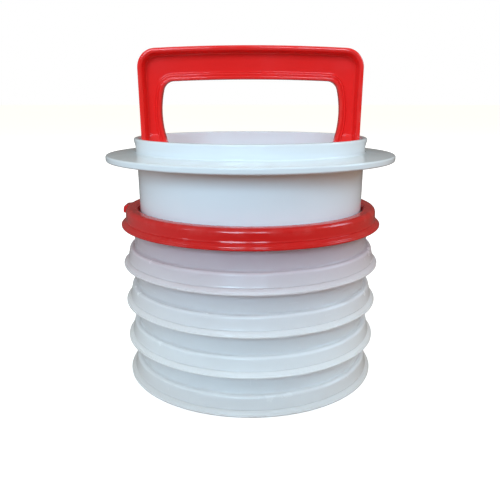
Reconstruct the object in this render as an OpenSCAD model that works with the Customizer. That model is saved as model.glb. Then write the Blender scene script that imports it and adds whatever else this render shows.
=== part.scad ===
// Stack of round food dishes with a lid, and a press made of a flanged ring, a plate and an arched handle.
// Each dish's skirt closes the dish below it, and the lid closes the top dish.
// The press stands in the lid's recess.
// Origin: centre of the stack on the surface that it stands on. +Z up. The handle's arch lies along X.

/* [Dishes] */
// How many dishes are in the stack
dish_count = 4; // [1:1:6]
// Outer diameter of the lip round each dish and the lid
lip_d = 136; // [126:1:160]
// Height that each dish adds to the stack
pitch = 20.3; // [19:0.1:30]
// Wall thickness of the dishes and the lid
wall = 1.5; // [1.3:0.1:1.7]

/* [Press ring] */
// Height of the ring
ring_h = 38.4; // [36:0.2:46]
// Wall thickness of the ring
ring_wall = 1.5; // [1.2:0.1:1.9]
// How far the grip flange stands out from the ring's bore
flange_reach = 16.9; // [12:0.1:22]
// Height of the flange's top edge below the ring's rim
flange_drop = 7.9; // [6:0.1:12]

/* [Handle] */
// Height of the handle from its foot to its crown
handle_h = 79.2; // [74:0.2:92]
// Depth of the grip bar, from the crown to the opening
grip_depth = 15; // [12:0.1:20]
// Radius of the round opening
opening_r = 44.9; // [41:0.1:46]
// Thickness of the handle across its flanges
handle_t = 18; // [12:0.5:20]

/* [Hidden] */
$fn = 96;

white_clear = [0.86, 0.90, 0.93];
white = [0.93, 0.95, 0.96];
red = [0.80, 0.10, 0.09];

lip_r = lip_d / 2;
seat_gap = 0.02;          // where one part rests on another
slide_gap = 0.3;          // round the press plate in the ring

// Dish and lid, measured from the underside of the lip
lip_edge_h = 1.2;         // height of the lip's outer edge
lip_h = 2.7;              // height of the whole lip, which slopes up to the skirt
ridge_h = 3.2;            // fine ridge at the foot of the skirt
shoulder_h = 9.6;         // top of the shoulder that carries the skirt
groove_h = 7.9;           // top of the groove that takes the rim below
floor_h = 4.0;            // underside of the floor
panel_r = 44;             // raised panel in the middle of the floor
panel_rise = 0.6;
rim_h = pitch + groove_h - seat_gap;
skirt_low_r = lip_r - 2.4;
skirt_top_r = lip_r - 3.7;
wall_low_r = lip_r - 6.4;
wall_top_r = wall_low_r + 0.55;
rim_r = wall_top_r + 0.6;
plug_r = wall_top_r - wall - 0.4;
snap_r = rim_r + 0.1;     // ridge that holds the rim below, in the skirt
snap_h = 4.7;

// Lid
lid_z = dish_count * pitch;
lid_top_h = 9.4;
lid_top_r = lip_r - 2.7;
lid_floor_top = 5.2;
recess_r = plug_r - 1.2;
tab_w = 9;                // tab for a finger, on the lid's top edge
tab_t = 4;
tab_reach = 1.9;

// Press ring
ring_z = lid_z + lid_floor_top;
ring_r = recess_r - 1.1;
bore_r = ring_r - ring_wall;
flange_r = bore_r + flange_reach;
flange_t = 3;
flange_slope = 1.0;       // the flange's top rises this much towards the collar
collar_r = ring_r + 0.3;
collar_rim_r = ring_r + 1.1;
flare_h = 4.6;            // the collar opens out over this height below its rim

// Press plate
plate_t = 1.6;
plate_r = bore_r - slide_gap;
plate_rim_h = 8;
plate_wall = 1.5;
foot_gap = 0.15;          // round the handle's foot

// Handle
handle_z = ring_z + plate_t + seat_gap;
handle_w = bore_r - 1.7;  // half its width
handle_r = 9;             // outer corners
foot_r = 2.5;             // lower corners
crown_r = 900;            // curve of the crown
flange_w = 2.2;           // outer flange, across its edge
bead_w = 2.8;             // flange round the opening
bead_t = 6.4;
web_t = 2.4;
foot_web_t = 3.6;         // thicker web below the pocket
pocket_h = 37.6;          // bottom edge of the pocket, above the foot
opening_top = handle_h - grip_depth;
opening_z = opening_top - 16;
opening_corner = 5.5;
opening_low_corner = 8;
opening_low = max(6, opening_z - opening_r + 1); // top of the foot bar

arc_step = 20;            // degrees in each step of a rounded corner

function unit(v) = v / norm(v);
function short_turn(a) = a > 180 ? a - 360 : a < -180 ? a + 360 : a;
function arc(c, r, from, to, step = arc_step) =
    let (n = max(1, ceil(abs(to - from) / step)))
    [for (i = [0:n]) let (a = from + (to - from) * i / n) [c.x + r * cos(a), c.y + r * sin(a)]];

// The corner at q, between p and s, with radius r
function corner(p, q, s, r) =
    r == 0 ? [q] :
    let (
        a = unit(p - q),
        b = unit(s - q),
        half = acos(a * b) / 2,
        centre = q + unit(a + b) * r / sin(half),
        from = q + a * r / tan(half) - centre,
        to = q + b * r / tan(half) - centre,
        start = atan2(from.y, from.x)
    )
    arc(centre, r, start, start + short_turn(atan2(to.y, to.x) - start));

// A closed outline from [x, y, corner radius] points
function rounded(path) =
    let (n = len(path), xy = [for (p = path) [p.x, p.y]])
    [for (i = [0:n - 1]) each corner(xy[(i + n - 1) % n], xy[i], xy[(i + 1) % n], path[i].z)];

module revolve(path) {
    rotate_extrude() polygon(rounded(path));
}

// Outline shared by the dishes and the lid: from the skirt's groove, down inside the skirt, and round the lip
// and the fine ridge above it
function skirt_and_lip() = [
    [plug_r, groove_h, 0.4],
    [skirt_top_r - wall, groove_h, 0.4],
    [snap_r + 0.6, snap_h + 1.1, 0.3],
    [snap_r, snap_h, 0.3],
    [skirt_low_r - wall + 0.1, snap_h - 1.6, 0.4],
    [skirt_low_r - wall + 0.4, 0, 0.5],
    [lip_r, 0, 0.6],
    [lip_r, lip_edge_h, 0.4],
    [lip_r - 0.6, lip_edge_h + 0.1, 0.15],
    [lip_r - 0.7, lip_h - 1, 0.4],
    [skirt_low_r + 0.3, lip_h, 0.2],
    [skirt_low_r - 0.1, lip_h + 0.1, 0.15],
    [skirt_low_r + 0.2, ridge_h, 0.2],
    [skirt_low_r, ridge_h + 0.6, 0.3]
];

module dish() {
    color(white_clear) revolve(concat(
        [
            [0, floor_h + panel_rise, 0],
            [panel_r, floor_h + panel_rise, 0.4],
            [panel_r + 1, floor_h, 0.4],
            [plug_r, floor_h, 2]
        ],
        skirt_and_lip(),
        [
            [skirt_top_r, shoulder_h, 1.5],
            [wall_low_r, shoulder_h, 0.9],
            [wall_top_r, rim_h - 3, 0.6],
            [rim_r, rim_h - 2.2, 0.5],
            [rim_r, rim_h, 0.8],
            [wall_top_r - wall, rim_h, 0.6],
            [wall_low_r - wall, shoulder_h + 0.8, 0.5],
            [plug_r - wall, shoulder_h - 1, 0.5],
            [plug_r - wall, floor_h + wall, 1.2],
            [panel_r + 1, floor_h + wall, 0.4],
            [panel_r, floor_h + panel_rise + wall, 0.4],
            [0, floor_h + panel_rise + wall, 0]
        ]
    ));
}

module lid() {
    color(red) translate([0, 0, lid_z]) {
        revolve(concat(
            [
                [0, lid_floor_top - 1.4, 0],
                [plug_r, lid_floor_top - 1.4, 1.6]
            ],
            skirt_and_lip(),
            [
                [lid_top_r, lid_top_h, 2.4],
                [recess_r, lid_top_h, 1.5],
                [recess_r - 0.1, lid_floor_top, 0.7],
                [0, lid_floor_top, 0]
            ]
        ));
        lid_tab();
    }
}

module lid_tab() {
    x = -lid_top_r - tab_reach;
    translate([0, 0, lid_top_h - tab_t - 0.5]) linear_extrude(tab_t) polygon(rounded([
        [x, -tab_w / 2, 1.5],
        [x, tab_w / 2, 1.5],
        [2 - lid_top_r, tab_w / 2, 0],
        [2 - lid_top_r, -tab_w / 2, 0]
    ]));
}

module press_ring() {
    flange_top = ring_h - flange_drop;
    flange_low = flange_top - flange_t;
    color(white) translate([0, 0, ring_z + seat_gap]) revolve([
        [bore_r, 0, 0.6],
        [ring_r, 0, 0.6],
        [ring_r, flange_low, 1],
        [flange_r, flange_low, 0.9],
        [flange_r, flange_top, 0.9],
        [collar_r, flange_top + flange_slope, 0.9],
        [collar_r, ring_h - flare_h, 6],
        [collar_rim_r, ring_h - 1.2, 1],
        [collar_rim_r, ring_h, 0.8],
        [bore_r, ring_h, 0.8]
    ]);
}

// Hooks that snap over the handle's foot, in pairs along the plate
module foot_hooks() {
    hook_l = 12;
    hook_t = 1.4;
    hook_h = flange_w + 1.3;
    for (x = [-32, 0, 32], side = [-1, 1])
        translate([x, side * (handle_t / 2 + foot_gap), plate_t]) {
            translate([-hook_l / 2, side > 0 ? 0 : -hook_t, -0.2]) cube([hook_l, hook_t, hook_h + 0.2]);
            translate([-hook_l / 2, side > 0 ? -0.8 : -hook_t, flange_w + 0.1])
                cube([hook_l, hook_t + 0.8, hook_h - flange_w - 0.1]);
        }
}

module press_plate() {
    color(white) translate([0, 0, ring_z + seat_gap]) {
        difference() {
            revolve([
                [0, 0, 0],
                [plate_r, 0, 1],
                [plate_r, plate_rim_h, 0.6],
                [plate_r - plate_wall, plate_rim_h, 0.6],
                [plate_r - plate_wall, plate_t, 0.8],
                [0, plate_t, 0]
            ]);
            // Slots in the rim for the handle's two edges
            translate([-plate_r, -handle_t / 2 - foot_gap, plate_t])
                cube([2 * plate_r, handle_t + 2 * foot_gap, plate_rim_h]);
        }
        foot_hooks();
    }
}

// The handle's outer edge moved in by inset, in its own plane, with its foot at 0
function handle_edge(inset) =
    let (
        w = handle_w - inset,
        crown_c = handle_h - crown_r,
        r = handle_r - inset,
        cx = w - r,
        cy = crown_c + sqrt(pow(crown_r - inset - r, 2) - cx * cx),
        lean = atan2(cy - crown_c, cx),
        low_r = max(foot_r - inset, 0.3)
    )
    concat(
        arc([w - low_r, inset + low_r], low_r, -90, 0, 30),
        arc([cx, cy], r, 0, lean, 10),
        arc([0, crown_c], crown_r - inset, lean, 180 - lean, 0.5),
        arc([-cx, cy], r, 180 - lean, 180, 10),
        arc([low_r - w, inset + low_r], low_r, 180, 270, 30)
    );

// The opening's edge moved out by outset: a circle cut off by the grip bar's underside and by the foot bar
function opening_edge(outset) =
    let (
        bar_c = opening_top - crown_r,
        near = opening_r - opening_corner,
        far = crown_r - opening_corner,
        cy = (far * far - near * near + opening_z * opening_z - bar_c * bar_c) / (2 * (opening_z - bar_c)),
        cx = sqrt(near * near - pow(cy - opening_z, 2)),
        side = atan2(cy - opening_z, cx),
        lean = atan2(cy - bar_c, cx),
        r = opening_corner + outset,
        low_y = opening_low + opening_low_corner,
        low_x = sqrt(pow(opening_r - opening_low_corner, 2) - pow(low_y - opening_z, 2)),
        low_side = atan2(low_y - opening_z, low_x),
        low_r = opening_low_corner + outset
    )
    concat(
        arc([0, opening_z], opening_r + outset, 180 - side, 180 - low_side, 6),
        arc([-low_x, low_y], low_r, 180 - low_side, 270, 12),
        arc([low_x, low_y], low_r, -90, low_side, 12),
        arc([0, opening_z], opening_r + outset, low_side, side, 6),
        arc([cx, cy], r, side, lean, 12),
        arc([0, bar_c], crown_r + outset, lean, 180 - lean, 0.5),
        arc([-cx, cy], r, 180 - lean, 180 - side, 12)
    );

module plank(t) {
    rotate([90, 0, 0]) linear_extrude(t, center = true) children();
}

module handle() {
    color(red) translate([0, 0, handle_z]) {
        // Web, thin in the pocket and thicker at the foot
        plank(web_t) difference() {
            polygon(handle_edge(0.5));
            polygon(opening_edge(0.5));
        }
        plank(foot_web_t) difference() {
            polygon(handle_edge(0.5));
            polygon(opening_edge(0.5));
            translate([-handle_w, pocket_h]) square([2 * handle_w, handle_h]);
        }
        // Outer flange, with a step where it runs into the web
        plank(handle_t) difference() {
            polygon(handle_edge(0));
            polygon(handle_edge(flange_w));
        }
        plank(web_t + 3) difference() {
            polygon(handle_edge(0.5));
            polygon(handle_edge(flange_w + 1));
        }
        // Flange round the opening
        plank(bead_t) difference() {
            polygon(opening_edge(bead_w));
            polygon(opening_edge(0));
        }
    }
}

for (i = [1:dish_count])
    translate([0, 0, (i - 1) * pitch]) dish();
lid();
press_ring();
press_plate();
handle();
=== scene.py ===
import math

import bpy
import numpy as np
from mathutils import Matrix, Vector

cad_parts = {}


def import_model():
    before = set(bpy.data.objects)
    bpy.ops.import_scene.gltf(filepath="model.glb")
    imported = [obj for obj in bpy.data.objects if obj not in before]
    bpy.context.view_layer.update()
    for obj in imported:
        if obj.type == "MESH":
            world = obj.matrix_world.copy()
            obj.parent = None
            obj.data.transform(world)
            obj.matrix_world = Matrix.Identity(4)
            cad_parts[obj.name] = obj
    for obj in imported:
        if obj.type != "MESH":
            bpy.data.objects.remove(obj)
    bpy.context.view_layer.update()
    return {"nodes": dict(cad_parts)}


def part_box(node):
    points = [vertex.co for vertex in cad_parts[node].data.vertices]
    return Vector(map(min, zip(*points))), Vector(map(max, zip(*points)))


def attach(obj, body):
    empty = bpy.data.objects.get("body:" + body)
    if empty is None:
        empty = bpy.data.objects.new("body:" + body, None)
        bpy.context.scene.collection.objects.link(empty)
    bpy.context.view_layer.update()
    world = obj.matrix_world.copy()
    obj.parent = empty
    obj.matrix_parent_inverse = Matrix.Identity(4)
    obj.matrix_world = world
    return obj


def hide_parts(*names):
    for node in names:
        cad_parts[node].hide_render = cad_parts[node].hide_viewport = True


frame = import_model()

# ---------------------------------------------------------------- sizes, in millimetres
MM = 0.001
SEGMENTS = 192            # round a turned piece
HANDLE_RAYS = 240         # round the handle


def low(node):
    """Height of a node's lowest point, in millimetres."""
    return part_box(node)[0].z / MM


def high(node):
    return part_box(node)[1].z / MM


def radius(node):
    """Largest radius of a round node, in millimetres."""
    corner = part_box(node)[1]
    return max(corner.x, corner.y) / MM


DISHES = [name for name in sorted(frame["nodes"]) if name.startswith("dish_")]

lid_z = low("lid")
lip_r = radius("dish_1")
wall = 1.5

# dish and lid, measured from the underside of the lip
lip_edge_h = 1.2
lip_h = 2.7
ridge_h = 3.2
shoulder_h = 9.6
groove_h = 7.9
floor_h = 4.0
panel_r = 44
panel_rise = 0.6
rim_h = high("dish_1") - low("dish_1")
skirt_low_r = lip_r - 2.4
skirt_top_r = lip_r - 3.7
wall_low_r = lip_r - 6.4
wall_top_r = wall_low_r + 0.55
rim_r = wall_top_r + 0.6
plug_r = wall_top_r - wall - 0.4
snap_r = rim_r + 0.1
snap_h = 4.7

lid_top_h = 9.4
lid_top_r = lip_r - 2.7
tab_low = 4.9
tab_reach = 1.9
tab_half_w = 4.5
seat_gap = 0.02           # between the lid and the ring that stands on it
lid_floor_top = low("press_ring") - lid_z - seat_gap
lid_floor_t = 1.4
recess_r = plug_r - 1.2

ring_h = high("press_ring") - low("press_ring")
ring_r = recess_r - 1.1
bore_r = ring_r - 1.5
flange_r = radius("press_ring")
flange_drop = 7.9
flange_t = 3
flange_slope = 1.0
collar_r = ring_r + 0.3
collar_rim_r = ring_r + 1.1
flare_h = 4.6

# handle, measured from its foot
handle_h = high("handle") - low("handle")
handle_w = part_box("handle")[1].x / MM
handle_half_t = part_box("handle")[1].y / MM
handle_r = 9
foot_r = 2.5
crown_r = 900
grip_depth = 15
opening_top = handle_h - grip_depth
opening_z = opening_top - 16
opening_r = 44.9
opening_corner = 5.5
opening_low_corner = 8
opening_low = 6
pocket_h = 37.6
web_half_t = 1.2
foot_half_t = 1.8


# ---------------------------------------------------------------- outlines
class Outline:
    """Points of a cross-section, each with its outward normal and how exposed to wear it is."""

    def __init__(self):
        self.xy, self.normal, self.wear = [], [], []

    def add(self, point, normal, wear=0.0):
        self.xy.append(tuple(point))
        self.normal.append(tuple(normal))
        self.wear.append(wear)


def rounded(path, step=12.0):
    """A counter-clockwise outline of (x, y, corner radius) points with its corners rounded."""
    out = Outline()
    count = len(path)
    for i, (x, y, r) in enumerate(path):
        q = Vector((x, y))
        a = (Vector(path[i - 1][:2]) - q).normalized()
        b = (Vector(path[(i + 1) % count][:2]) - q).normalized()
        before, after = Vector((-a.y, a.x)), Vector((b.y, -b.x))
        if r == 0:
            out.add(q, (before + after).normalized() if x > 0 else (before if i else after))
            continue
        half = math.acos(max(-1.0, min(1.0, a.dot(b)))) / 2
        centre = q + (a + b).normalized() * r / math.sin(half)
        convex = before.cross(after) > 0
        start = math.atan2(before.y, before.x)
        turn = math.atan2(before.cross(after), before.dot(after))
        n = max(1, math.ceil(abs(math.degrees(turn)) / step))
        for k in range(n + 1):
            angle = start + turn * k / n
            normal = Vector((math.cos(angle), math.sin(angle)))
            point = centre + normal * (r if convex else -r)
            out.add(point, normal, 1.0 if convex and abs(turn) > 0.6 else 0.0)
    return out


def lathe(name, outline, z, extra_angles=(), bulge=None):
    """Turns an outline of (radius, height) points round the vertical axis through the origin.

    bulge(radius, height, angle) is how far a point is pushed out; with one, the normals come from the faces.
    """
    even = [2 * math.pi * k / SEGMENTS for k in range(SEGMENTS)]
    angles = sorted({round(angle, 6) for angle in even + list(extra_angles)})
    count = len(angles)
    verts, normals, wear, rings = [], [], [], []
    for (r, h), (nr, nh), worn in zip(outline.xy, outline.normal, outline.wear):
        if r < 1e-6:
            rings.append([len(verts)] * count)
            verts.append((0, 0, (h + z) * MM))
            normals.append((0, 0, math.copysign(1, nh)))
            wear.append(worn)
            continue
        rings.append(list(range(len(verts), len(verts) + count)))
        for angle in angles:
            c, s = math.cos(angle), math.sin(angle)
            out = r + (bulge(r, h, angle) if bulge else 0)
            verts.append((out * c * MM, out * s * MM, (h + z) * MM))
            normals.append((nr * c, nr * s, nh))
            wear.append(worn)
    faces = []
    for one, two in zip(rings, rings[1:] + rings[:1]):
        if one[0] == one[-1] and two[0] == two[-1]:
            continue
        for k in range(count):
            m = (k + 1) % count
            face = [one[k], one[m], two[m], two[k]]
            faces.append([v for j, v in enumerate(face) if v != face[j - 1]])
    piece = make_mesh(name, verts, faces, wear, None if bulge else normals)
    if bulge:
        even_normals(piece)
    return piece


def even_normals(piece):
    weighted = piece.modifiers.new("weighted", "WEIGHTED_NORMAL")
    weighted.mode = "FACE_AREA"


def make_mesh(name, verts, faces, wear, normals=None):
    mesh = bpy.data.meshes.new(name)
    mesh.from_pydata(verts, [], faces)
    mesh.validate()
    mesh.polygons.foreach_set("use_smooth", [True] * len(mesh.polygons))
    attribute = mesh.attributes.new("wear", "FLOAT", "POINT")
    attribute.data.foreach_set("value", wear)
    if normals:
        mesh.normals_split_custom_set_from_vertices(normals)
    mesh.update()
    piece = bpy.data.objects.new(name, mesh)
    bpy.context.scene.collection.objects.link(piece)
    return piece


# ---------------------------------------------------------------- dishes and lid
def gate_mark(h):
    """Outline of the small mark that moulding leaves on the axis, on the underside of a floor at height h."""
    nub, dip = h - 0.35, h + 0.25
    return [(0, nub, 0), (0.9, nub, 0.15), (1.1, dip, 0.1), (3.2, dip, 0.2), (3.6, h, 0.2)]


def skirt_and_lip():
    """From the skirt's groove, down inside the skirt, round the lip and the fine ridge above it."""
    return [
        (plug_r, groove_h, 0.4),
        (skirt_top_r - wall, groove_h, 0.4),
        (snap_r + 0.6, snap_h + 1.1, 0.3),
        (snap_r, snap_h, 0.3),
        (skirt_low_r - wall + 0.1, snap_h - 1.6, 0.4),
        (skirt_low_r - wall + 0.4, 0, 0.5),
        (lip_r, 0, 0.6),
        (lip_r, lip_edge_h, 0.4),
        (lip_r - 0.6, lip_edge_h + 0.1, 0.15),
        (lip_r - 0.7, lip_h - 1, 0.4),
        (skirt_low_r + 0.3, lip_h, 0.2),
        (skirt_low_r - 0.1, lip_h + 0.1, 0.15),
        (skirt_low_r + 0.2, ridge_h, 0.2),
        (skirt_low_r, ridge_h + 0.6, 0.3),
    ]


def dish_outline():
    inner = floor_h + wall
    return rounded(
        gate_mark(floor_h + panel_rise)
        + [
            (panel_r, floor_h + panel_rise, 0.4),
            (panel_r + 1, floor_h, 0.4),
            (plug_r, floor_h, 2),
        ]
        + skirt_and_lip()
        + [
            (skirt_top_r, shoulder_h, 1.5),
            (wall_low_r, shoulder_h, 0.9),
            (wall_top_r, rim_h - 3, 0.6),
            (rim_r, rim_h - 2.2, 0.5),
            (rim_r, rim_h, 0.8),
            (wall_top_r - wall, rim_h, 0.6),
            (wall_low_r - wall, shoulder_h + 0.8, 0.5),
            (plug_r - wall, shoulder_h - 1, 0.5),
            (plug_r - wall, inner, 1.2),
            (panel_r + 1, inner, 0.4),
            (panel_r, inner + panel_rise, 0.4),
            (0, inner + panel_rise, 0),
        ]
    )


def lid_outline():
    """The lid's cross-section. Its wall has two points more, above and below the tab's lower edge."""
    under = lid_floor_top - lid_floor_t
    wall_foot = ridge_h + 0.6

    def wall_r(h):
        return skirt_low_r + (lid_top_r - skirt_low_r) * (h - wall_foot) / (lid_top_h - wall_foot)

    return rounded(
        gate_mark(under)
        + [(plug_r, under, 1.6)]
        + skirt_and_lip()
        + [
            (wall_r(tab_low - 0.3), tab_low - 0.3, 0),
            (wall_r(tab_low + 0.3), tab_low + 0.3, 0),
            (lid_top_r, lid_top_h, 2.4),
            (recess_r, lid_top_h, 1.5),
            (recess_r - 0.1, lid_floor_top, 0.7),
            (0, lid_floor_top, 0),
        ]
    )


def tab_bulge(r, h, angle):
    """How far a point of the lid is pushed out to make the finger tab on the -X side."""
    side = abs(r * math.sin(angle)) if math.cos(angle) < 0 else lid_top_r
    across = smooth_step((tab_half_w + 0.4 - side) / 1.2)
    return tab_reach * across if h > tab_low and r > lid_top_r - 1 else 0


def ring_outline():
    flange_top = ring_h - flange_drop
    flange_low = flange_top - flange_t
    return rounded(
        [
            (bore_r, 0, 0.6),
            (ring_r, 0, 0.6),
            (ring_r, flange_low, 1),
            (flange_r, flange_low, 0.9),
            (flange_r, flange_top, 0.9),
            (collar_r, flange_top + flange_slope, 0.9),
            (collar_r, ring_h - flare_h, 6),
            (collar_rim_r, ring_h - 1.2, 1),
            (collar_rim_r, ring_h, 0.8),
            (bore_r, ring_h, 0.8),
        ]
    )


# ---------------------------------------------------------------- handle
def arc(cx, cy, r, start, end, step):
    n = max(1, math.ceil(abs(end - start) / step))
    angles = [math.radians(start + (end - start) * k / n) for k in range(n + 1)]
    return [(cx + r * math.cos(a), cy + r * math.sin(a)) for a in angles]


def handle_edge(inset):
    """The handle's outer edge in its own plane, moved in by inset."""
    w, r = handle_w - inset, max(handle_r - inset, 0.4)
    crown = crown_r - inset
    crown_y = handle_h - crown_r
    cx = w - r
    cy = crown_y + math.sqrt((crown - r) ** 2 - cx * cx)
    lean = math.degrees(math.atan2(cy - crown_y, cx))
    low_r = max(foot_r - inset, 0.3)
    return (
        arc(w - low_r, inset + low_r, low_r, -90, 0, 15)
        + arc(cx, cy, r, 0, lean, 6)
        + arc(0, crown_y, crown, lean, 180 - lean, 0.25)
        + arc(-cx, cy, r, 180 - lean, 180, 6)
        + arc(low_r - w, inset + low_r, low_r, 180, 270, 15)
    )


def opening_edge(outset):
    """The opening's edge, moved out by outset: a circle cut off by the grip bar and by the foot bar."""
    bar_y = opening_top - crown_r
    near, far = opening_r - opening_corner, crown_r - opening_corner
    cy = (far**2 - near**2 + opening_z**2 - bar_y**2) / (2 * (opening_z - bar_y))
    cx = math.sqrt(near**2 - (cy - opening_z) ** 2)
    side = math.degrees(math.atan2(cy - opening_z, cx))
    lean = math.degrees(math.atan2(cy - bar_y, cx))
    r = opening_corner + outset
    low_y = opening_low + opening_low_corner
    low_x = math.sqrt((opening_r - opening_low_corner) ** 2 - (low_y - opening_z) ** 2)
    low_side = math.degrees(math.atan2(low_y - opening_z, low_x))
    low_r = opening_low_corner + outset
    return (
        arc(0, opening_z, opening_r + outset, 180 - side, 180 - low_side, 2)
        + arc(-low_x, low_y, low_r, 180 - low_side, 270, 6)
        + arc(low_x, low_y, low_r, -90, low_side, 6)
        + arc(0, opening_z, opening_r + outset, low_side, side, 2)
        + arc(cx, cy, r, side, lean, 5)
        + arc(0, bar_y, crown_r + outset, lean, 180 - lean, 0.25)
        + arc(-cx, cy, r, 180 - lean, 180 - side, 5)
    )


def ray_radii(edge, angles, centre_y):
    """How far each ray from (0, centre_y) goes to the closed edge round it."""
    p = np.array(edge + edge[:1]) - (0, centre_y)
    bearing = np.unwrap(np.arctan2(p[:, 1], p[:, 0]))
    if bearing[-1] < bearing[0]:
        p, bearing = p[::-1], bearing[::-1]
    out = []
    for a in angles:
        a = bearing[0] + (a - bearing[0]) % (2 * math.pi)
        k = min(max(int(np.searchsorted(bearing, a, side="right")) - 1, 0), len(p) - 2)
        one, two = p[k], p[k + 1]
        d = np.array((math.cos(a), math.sin(a)))
        e = two - one
        out.append((one[0] * e[1] - one[1] * e[0]) / (d[0] * e[1] - d[1] * e[0]))
    return np.array(out)


def smooth_step(x):
    x = np.clip(x, 0, 1)
    return x * x * (3 - 2 * x)


def curve_through(points):
    """A function that runs straight from one (offset, half thickness) point to the next."""
    xs, ys = np.array([p[0] for p in points]), np.array([p[1] for p in points])
    return lambda x: np.interp(x, xs, ys)


def quarter(x0, y0, x1, y1, bulge, n=6):
    """Points on a quarter ellipse from (x0, y0) to (x1, y1). bulge is the axis along which it starts."""
    out = []
    for k in range(n + 1):
        a = math.pi / 2 * k / n
        s, c = math.sin(a), 1 - math.cos(a)
        u, v = (c, s) if bulge == "y" else (s, c)
        out.append((x0 + (x1 - x0) * u, y0 + (y1 - y0) * v))
    return out


RIM = (  # rounded outer rim, its drafted side, and a small fillet to the web
    quarter(0, handle_half_t - 1.2, 1.1, handle_half_t, "y")
    + quarter(1.2, handle_half_t, 2.25, handle_half_t - 1.2, "x")
    + [(2.75, web_half_t + 0.9)]
    + quarter(2.8, web_half_t + 0.7, 3.5, web_half_t, "y", 4)
    + [(3.6, web_half_t)]
)
BEAD = (  # two ridges round the opening, with a groove between them
    quarter(0, 2.2, 0.85, 3.2, "y")
    + quarter(1.15, 3.2, 1.9, 2.35, "x", 4)
    + quarter(1.95, 2.2, 2.45, 2.6, "y", 3)
    + quarter(2.55, 2.6, 3.05, 2.1, "x", 3)
    + quarter(3.1, 1.9, 3.6, web_half_t, "y", 3)
    + [(3.7, web_half_t)]
)


def handle_angles(centre_y):
    """Bearings of the mesh's rays: through the edges' points, close together at the web's step, and even."""
    edges = [handle_edge(0), handle_edge(4), opening_edge(0), opening_edge(3)]
    angles = [math.atan2(y - centre_y, x) % (2 * math.pi) for edge in edges for x, y in edge]
    for k in range(-6, 7):
        angles += [math.radians(k * 0.22) % (2 * math.pi), math.pi + math.radians(k * 0.22)]
    angles += [2 * math.pi * k / HANDLE_RAYS for k in range(HANDLE_RAYS)]
    return np.unique(np.round(np.sort(angles), 4))


def handle_grid(angles, centre_y):
    """Points in the handle's plane, in loops from its outer edge to the opening's edge.

    Loops near an edge follow it. Where the handle is narrow they are held back half-way across.
    """
    rim_s = sorted({round(s, 3) for s, h in RIM})
    bead_t = sorted({round(t, 3) for t, h in BEAD}, reverse=True)
    outer = [ray_radii(handle_edge(s), angles, centre_y) for s in rim_s]
    inner = [ray_radii(opening_edge(t), angles, centre_y) for t in bead_t]
    middle = (outer[-1] + inner[0]) / 2
    gap = 0.02
    for k, rho in enumerate(outer):
        outer[k] = np.maximum(rho, middle + gap * (len(outer) - k))
    for k, rho in enumerate(inner):
        inner[k] = np.minimum(rho, middle - gap * (k + 1))
    between = [outer[-1] * (1 - f) + inner[0] * f for f in (0.12, 0.3, 0.5, 0.7, 0.88)]
    grid = np.array(outer + between + inner)
    return grid * np.cos(angles), grid * np.sin(angles) + centre_y


def handle_mesh(name):
    """The handle: the grid of points at its half thickness on both sides, closed round both edges."""
    centre_y = pocket_h
    x, y = handle_grid(handle_angles(centre_y), centre_y)
    s, t = distance_to(handle_edge(0), x, y), distance_to(opening_edge(0), x, y)
    s[0], t[-1] = 0, 0
    foot = web_half_t + (foot_half_t - web_half_t) * smooth_step((pocket_h - y) / 0.5 + 0.5)
    half = np.maximum(np.maximum(curve_through(RIM)(s), curve_through(BEAD)(t)), foot)
    wear = np.maximum(np.exp(-(((s - 0.6) / 0.7) ** 2)), 0.6 * np.exp(-(((t - 0.6) / 0.6) ** 2)))

    loops, n = x.shape
    front = np.stack([x, -half, y], -1).reshape(-1, 3)
    back = np.stack([x, half, y], -1).reshape(-1, 3)
    verts = np.concatenate([front, back]) * MM + (0, 0, low("handle") * MM)
    faces = []
    back_start = loops * n
    for k in range(loops - 1):
        for j in range(n):
            m = (j + 1) % n
            a, b, c, d = k * n + j, k * n + m, (k + 1) * n + m, (k + 1) * n + j
            faces.append((a, d, c, b))
            faces.append(tuple(back_start + v for v in (a, b, c, d)))
    last = (loops - 1) * n
    for j in range(n):
        m = (j + 1) % n
        faces.append((j, m, back_start + m, back_start + j))
        faces.append((last + m, last + j, back_start + last + j, back_start + last + m))
    piece = make_mesh(name, verts.tolist(), faces, np.concatenate([wear.ravel()] * 2).tolist())
    even_normals(piece)
    return piece


def distance_to(edge, x, y):
    """Distance from each point to the closed edge."""
    p = np.array(edge + edge[:1])
    best = np.full(x.shape, 1e9)
    for (x0, y0), (x1, y1) in zip(p[:-1], p[1:]):
        dx, dy = x1 - x0, y1 - y0
        length = dx * dx + dy * dy
        if length < 1e-12:
            continue
        u = np.clip(((x - x0) * dx + (y - y0) * dy) / length, 0, 1)
        best = np.minimum(best, np.hypot(x - x0 - u * dx, y - y0 - u * dy))
    return best


# ---------------------------------------------------------------- materials
LID_PAINTED_SHADE = (0.39, 0.57, 0.52)  # painted shade near the lid: share of red, green and blue light that the lid takes from a wall beside it, taken off the wall's colour
LID_SHADE_REACH = 22           # how fast that painted shade fades down the stack, in millimetres
EMPTY_SKIRT_SHADE = 0.16        # painted shade: share of light lost where nothing stands inside a skirt, taken off the skirt's colour
FLOOR_GLOW = 0.58         # lifts the floor towards white


def srgb(r, g, b):
    """Linear colour from 0 to 255 display values."""
    def linear(v):
        v /= 255
        return v / 12.92 if v <= 0.04045 else ((v + 0.055) / 1.055) ** 2.4
    return (linear(r), linear(g), linear(b), 1.0)


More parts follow.
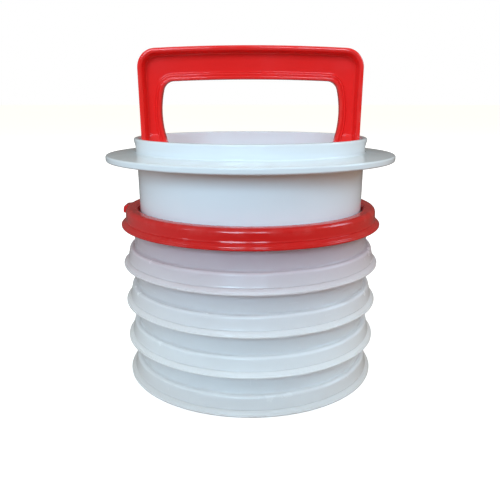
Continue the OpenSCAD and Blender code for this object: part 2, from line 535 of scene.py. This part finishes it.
class Nodes:
    """Short calls for building a material's node tree."""

    def __init__(self, owner):
        owner.use_nodes = True
        self.owner, self.tree = owner, owner.node_tree
        self.tree.nodes.clear()

    def add(self, kind, inputs=None, **settings):
        node = self.tree.nodes.new("ShaderNode" + kind)
        for key, value in settings.items():
            setattr(node, key, value)
        for key, value in (inputs or {}).items():
            if isinstance(value, bpy.types.NodeSocket):
                self.tree.links.new(value, node.inputs[key])
            else:
                node.inputs[key].default_value = value
        return node

    def math(self, operation, a, b=0.0):
        return self.add("Math", {0: a, 1: b}, operation=operation).outputs[0]

    def noise(self, where, scale, detail=2.0, rough=0.5, stretch=(1, 1, 1)):
        """Noise with its scale in features per metre."""
        mapped = self.add("Mapping", {"Vector": where, "Scale": stretch}).outputs[0]
        inputs = {"Vector": mapped, "Scale": scale, "Detail": detail, "Roughness": rough}
        return self.add("TexNoise", inputs).outputs["Fac"]

    def ramp(self, value, low_in, high_in, low_out=0.0, high_out=1.0):
        inputs = {0: value, 1: low_in, 2: high_in, 3: low_out, 4: high_out}
        return self.add("MapRange", inputs).outputs[0]

    def mix(self, factor, a, b):
        node = self.add("Mix", data_type="RGBA")
        for socket, value in ((0, factor), (6, a), (7, b)):
            if isinstance(value, bpy.types.NodeSocket):
                self.tree.links.new(value, node.inputs[socket])
            else:
                node.inputs[socket].default_value = value
        return node.outputs[2]


def plastic(name, color, rubbed_color, rough, waves, wear, body):
    """Moulded plastic: slow waves, a fine grain, hairline scratches and scuffs, and edges rubbed paler.

    body is the subsurface depth, in millimetres, of a translucent plastic. Its pieces carry a colour of
    painted shade, which darkens and reddens the base colour.
    """
    n = Nodes(bpy.data.materials.new(name))
    where = n.add("TexCoord").outputs["Object"]
    slow = n.noise(where, 38, 2, 0.5)
    grain = n.noise(where, 2400, 2, 0.6)
    patches = n.ramp(n.noise(where, 55, 4, 0.6), 0.42, 0.70)
    level = n.ramp(n.noise(where, 300, 2, 0.5, (0.1, 0.1, 5.0)), 0.69, 0.73)
    upright = n.ramp(n.noise(where, 280, 2, 0.5, (4.0, 4.0, 0.12)), 0.70, 0.74)
    hairs = n.math("MULTIPLY", n.math("MAXIMUM", level, upright), patches)
    edge = n.add("Attribute", attribute_name="wear").outputs["Fac"]
    rubbed = n.math("MULTIPLY", edge, n.ramp(n.noise(where, 90, 4, 0.6), 0.48, 0.75))
    tint = n.mix(n.ramp(slow, 0.3, 0.7, 0.0, 0.35), color, tuple(0.95 * c for c in color[:3]) + (1,))
    tint = n.mix(n.math("MULTIPLY", rubbed, wear), tint, rubbed_color)
    tint = n.mix(n.math("MULTIPLY", hairs, 0.12 * wear), tint, rubbed_color)
    roughness = n.math("ADD", n.math("MULTIPLY", patches, 0.05), rough)
    roughness = n.math("ADD", roughness, n.math("MULTIPLY", rubbed, 0.3 * wear))
    roughness = n.math("ADD", roughness, n.math("MULTIPLY", hairs, 0.08))
    height = n.math("MULTIPLY", slow, waves)
    height = n.math("ADD", height, n.math("MULTIPLY", grain, 0.0004))
    height = n.math("SUBTRACT", height, n.math("MULTIPLY", hairs, 0.0015))
    bump = n.add("Bump", {"Height": height, "Strength": 1.0, "Distance": MM}).outputs[0]
    inputs = {"Base Color": tint, "Roughness": roughness, "IOR": 1.5, "Normal": bump}
    if body:
        # painted shade: the base colour is multiplied by the piece's colour of painted shade
        painted_shade_color = n.add("Attribute", attribute_name="painted_stack_shade").outputs["Color"]
        inputs["Base Color"] = n.add("VectorMath", {0: tint, 1: painted_shade_color}, operation="MULTIPLY").outputs[0]
        inputs["Subsurface Weight"] = 1.0
        inputs["Subsurface Radius"] = (1.0, 1.0, 1.0)
        inputs["Subsurface Scale"] = body * MM
    shader = n.add("BsdfPrincipled", inputs)
    n.add("OutputMaterial", {"Surface": shader.outputs[0]})
    return n.owner


def floor_material():
    n = Nodes(bpy.data.materials.new("pale_floor"))
    where = n.add("TexCoord").outputs["Object"]
    tone = n.mix(n.noise(where, 3, 3), srgb(243, 243, 243), srgb(247, 247, 247))
    inputs = {"Base Color": tone, "Roughness": 0.7, "Specular IOR Level": 0.2}
    inputs["Emission Color"], inputs["Emission Strength"] = (1, 1, 1, 1), FLOOR_GLOW
    shader = n.add("BsdfPrincipled", inputs)
    n.add("OutputMaterial", {"Surface": shader.outputs[0]})
    return n.owner


PLASTICS = {  # colour, colour where rubbed, roughness, waves, wear, subsurface depth
    "translucent_white": (srgb(243, 241, 240), srgb(250, 250, 248), 0.2, 0.02, 0.3, 4),
    "opaque_white": (srgb(236, 238, 240), srgb(246, 246, 244), 0.07, 0.012, 0.2, None),
    "lid_red": (srgb(214, 32, 30), srgb(232, 100, 94), 0.12, 0.02, 0.3, None),
    "press_red": (srgb(252, 42, 39), srgb(250, 120, 112), 0.08, 0.015, 0.3, None),
}
MATERIALS = {name: plastic(name, *settings) for name, settings in PLASTICS.items()}


# ---------------------------------------------------------------- the pieces
def finish_piece(piece, material, body, *nodes):
    piece.data.materials.clear()
    piece.data.materials.append(MATERIALS[material])
    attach(piece, body)
    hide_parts(*nodes)


def painted_stack_shade(piece):
    """Paints shade into a translucent wall's colour: red-tinted shade up high beside the red lid, and plain
    shade in the lowest skirt, where nothing stands inside.

    It stands in for light that passes through several walls.
    """
    mesh = piece.data
    z = np.array([vertex.co.z for vertex in mesh.vertices]) / MM
    # painted shade: darker and redder up high beside the lid, darker in the lowest skirt
    red = np.exp(np.minimum(z - lid_z, 0) / LID_SHADE_REACH)
    empty = 1 - smooth_step((z - shoulder_h + 1) / 2)
    colors = [1 - share * red - EMPTY_SKIRT_SHADE * empty for share in LID_PAINTED_SHADE] + [np.ones_like(z)]
    attribute = mesh.color_attributes.new("painted_stack_shade", "FLOAT_COLOR", "POINT")
    attribute.data.foreach_set("color", np.stack(colors, -1).ravel())


for node in DISHES:
    shell = lathe(f"{node}_shell", dish_outline(), low(node))
    # painted shade goes into each dish wall's colour
    painted_stack_shade(shell)
    finish_piece(shell, "translucent_white", node, node)

tab_angles = [math.pi + math.radians(k * 0.25) for k in range(-20, 21)]
lid_shell = lathe("lid_shell", lid_outline(), lid_z, tab_angles, tab_bulge)
finish_piece(lid_shell, "lid_red", "lid", "lid")

ring_shell = lathe("press_ring_shell", ring_outline(), low("press_ring"))
finish_piece(ring_shell, "opaque_white", "press_ring", "press_ring")

finish_piece(handle_mesh("handle_arch"), "press_red", "press", "handle")

# The plate is shown with the shape that model.glb gives it
plate = frame["nodes"]["press_plate"]
plate.data.materials.clear()
plate.data.materials.append(MATERIALS["opaque_white"])


# ---------------------------------------------------------------- stage, light and camera
LAMP_DISTANCE = 2.0       # metres from the object's middle
AIM = Vector((0, 0, 0.09))
DAYLIGHT = (0.53, 0.80, 1.0)
WARM_WHITE = (1.0, 0.95, 0.86)
COOL_WHITE = (0.9, 0.95, 1.0)
ROOM = {  # colour of the light that comes from each side of the room
    "+X": (0.62, 0.47, 0.36),
    "-X": (0.68, 0.69, 0.68),
    "+Y": (0.18, 0.17, 0.155),
    "-Y": (0.12, 0.07, 0.05),
    "+Z": (0.68, 0.66, 0.56),
    "-Z": (0.18, 0.11, 0.08),
}
ROOM_GLOSS = 0.5          # how bright the room's sides look in reflections, beside the lamps

CAMERA_BACK = 303.96      # in front of the stack's axis, in millimetres
CAMERA_UP = 141.644       # over the surface that the stack stands on
CAMERA_TILT = 19.25       # degrees below level


def stage():
    bpy.ops.mesh.primitive_plane_add(size=60, location=(0, 0, -0.1 * MM))
    floor = bpy.context.object
    floor.name = "floor"
    floor.data.materials.append(floor_material())
    floor.visible_diffuse = floor.visible_glossy = floor.visible_transmission = False


def panel_light(name, azimuth, elevation, width, height, power, color):
    """A flat lamp that faces the object's middle. Azimuth 0 is behind the camera, positive to its right."""
    light = bpy.data.lights.new(name, "AREA")
    light.shape = "RECTANGLE"
    light.size, light.size_y, light.energy, light.color = width, height, power, color
    lamp = bpy.data.objects.new(name, light)
    a, e = math.radians(azimuth), math.radians(elevation)
    direction = Vector((math.sin(a) * math.cos(e), -math.cos(a) * math.cos(e), math.sin(e)))
    offset = direction * LAMP_DISTANCE
    lamp.location = AIM + offset
    lamp.rotation_euler = (-offset).to_track_quat("-Z", "Y").to_euler()
    lamp.visible_camera = False
    bpy.context.scene.collection.objects.link(lamp)
    return lamp


def lights():
    panel_light("window_left", -15.5, 20.5, 0.66, 0.74, 20.6, DAYLIGHT)
    panel_light("window_right", 8.2, 20.5, 0.4, 0.74, 9.6, DAYLIGHT)
    panel_light("side_window", 88, 28, 0.8, 0.8, 12, DAYLIGHT)
    panel_light("left_strip", -58, 22, 0.09, 0.9, 1.5, DAYLIGHT)
    panel_light("ceiling_lamp", -2, 52, 0.9, 0.45, 1.2, WARM_WHITE)
    back_fill = panel_light("back_fill", 180, 30, 1.4, 1.2, 8, COOL_WHITE)
    back_fill.visible_glossy = False
    world()


def world():
    """A plain room: each direction blends the colours of the sides that it faces. The camera sees white."""
    studio = bpy.data.worlds.new("studio")
    bpy.context.scene.world = studio
    n = Nodes(studio)
    facing = n.add("SeparateXYZ", {0: n.add("TexCoord").outputs["Generated"]})
    total = None
    for side, color in ROOM.items():
        toward = n.math("MULTIPLY", facing.outputs[side[1]], -1.0 if side[0] == "-" else 1.0)
        share = n.math("POWER", n.math("MAXIMUM", toward, 0.0), 2.0)
        part = n.add("VectorMath", {0: color, "Scale": share}, operation="SCALE").outputs[0]
        total = n.add("VectorMath", {0: total, 1: part}, operation="ADD").outputs[0] if total else part
    ray = n.add("LightPath")
    color = n.mix(ray.outputs["Is Camera Ray"], total, (1, 1, 1, 1))
    strength = n.ramp(ray.outputs["Is Glossy Ray"], 0, 1, 1, ROOM_GLOSS)
    background = n.add("Background", {"Color": color, "Strength": strength})
    n.add("OutputWorld", {"Surface": background.outputs[0]})


def camera():
    """At arm's length, a little above the lid, looking down."""
    data = bpy.data.cameras.new("camera")
    data.lens, data.sensor_width = 40.93, 36
    data.shift_x, data.shift_y = -0.001, 0.1008
    data.clip_start, data.clip_end = 0.01, 50
    eye = bpy.data.objects.new("camera", data)
    eye.location = (0, -CAMERA_BACK * MM, CAMERA_UP * MM)
    eye.rotation_euler = (math.radians(90 - CAMERA_TILT), 0, 0)
    bpy.context.scene.collection.objects.link(eye)
    bpy.context.scene.camera = eye


stage()
lights()
camera()
bpy.context.scene.view_settings.view_transform = "Standard"
